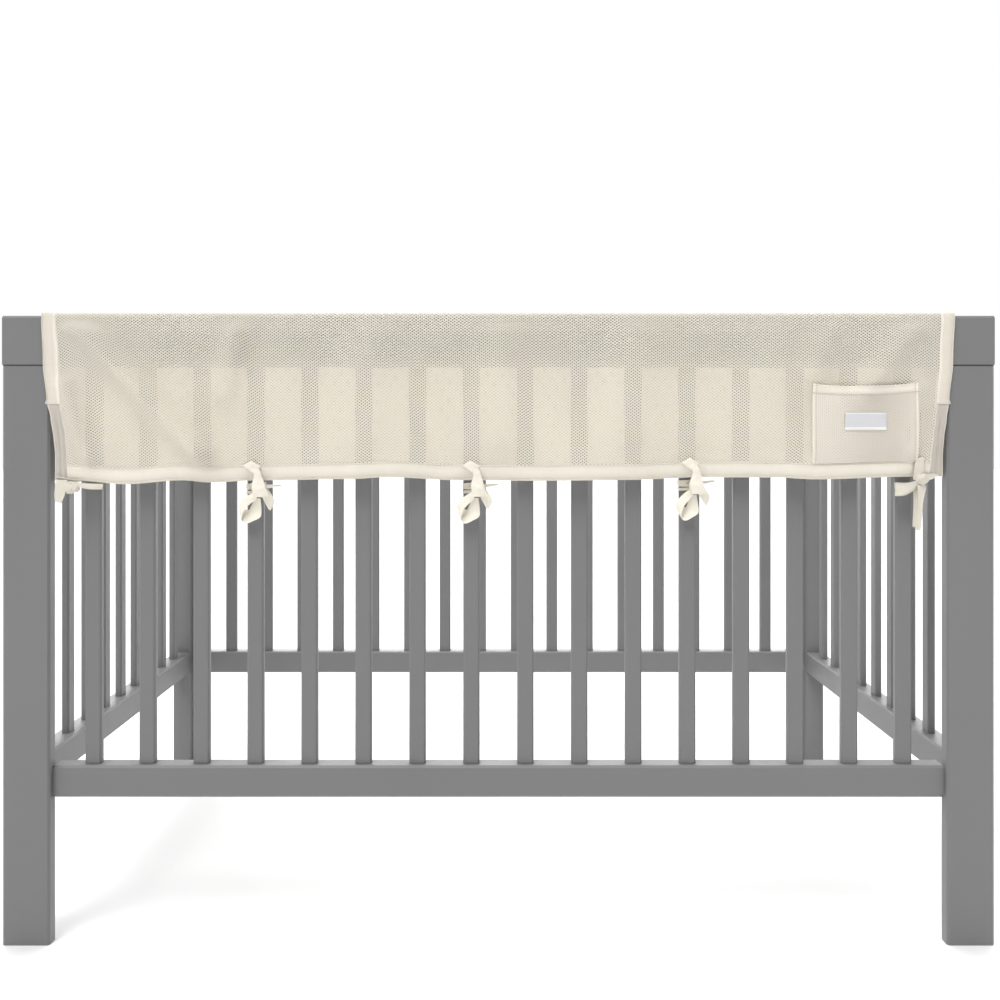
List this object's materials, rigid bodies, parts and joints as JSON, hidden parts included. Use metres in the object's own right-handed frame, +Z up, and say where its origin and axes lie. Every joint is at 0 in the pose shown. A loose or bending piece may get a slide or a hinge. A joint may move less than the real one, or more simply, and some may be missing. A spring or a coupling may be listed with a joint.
{
  "type": "crib rail cover on a crib",
  "caption": "Sheer mesh cover draped over the front top rail of a wooden crib, bound at its edges, with a patch pocket and tape ties knotted round the slats.",
  "frame": {"origin": "middle of the footprint at floor level", "axes": "+X along the front rail to the right seen from the front, +Y towards the back, +Z up"},
  "size_m": [1.401, 0.8064, 0.894],
  "materials": {
    "crib_paint": "satin grey paint",
    "mesh_cloth": "sheer knitted mesh",
    "binding_cloth": "matt cotton tape",
    "pocket_cloth": "doubled knitted mesh",
    "label_satin": "woven satin"
  },
  "bodies": {
    "root": {"front_top_rail": "crib_paint", "front_bottom_rail": "crib_paint", "front_slat_01": "crib_paint", "front_slat_02": "crib_paint", "front_slat_03": "crib_paint", "front_slat_04": "crib_paint", "front_slat_05": "crib_paint", "front_slat_06": "crib_paint", "front_slat_07": "crib_paint", "front_slat_08": "crib_paint", "front_slat_09": "crib_paint", "front_slat_10": "crib_paint", "front_slat_11": "crib_paint", "front_slat_12": "crib_paint", "front_slat_13": "crib_paint", "front_slat_14": "crib_paint", "front_slat_15": "crib_paint", "front_slat_16": "crib_paint", "back_panel": "crib_paint", "front_post_left": "crib_paint", "front_post_right": "crib_paint", "back_post_left": "crib_paint", "back_post_right": "crib_paint", "end_panel_left": "crib_paint", "end_panel_right": "crib_paint", "cover_mesh": "mesh_cloth", "bottom_binding_front": "binding_cloth", "bottom_binding_back": "binding_cloth", "side_binding_left": "binding_cloth", "side_binding_right": "binding_cloth", "corner_strip_front_left": "binding_cloth", "corner_strip_front_right": "binding_cloth", "corner_strip_back_left": "binding_cloth", "corner_strip_back_right": "binding_cloth", "pocket": "pocket_cloth", "label": "label_satin", "tie_left": "binding_cloth", "tie_middle": "binding_cloth", "tie_right": "binding_cloth", "corner_tie_left": "binding_cloth", "corner_tie_right": "binding_cloth"}
  },
  "joints": []
}
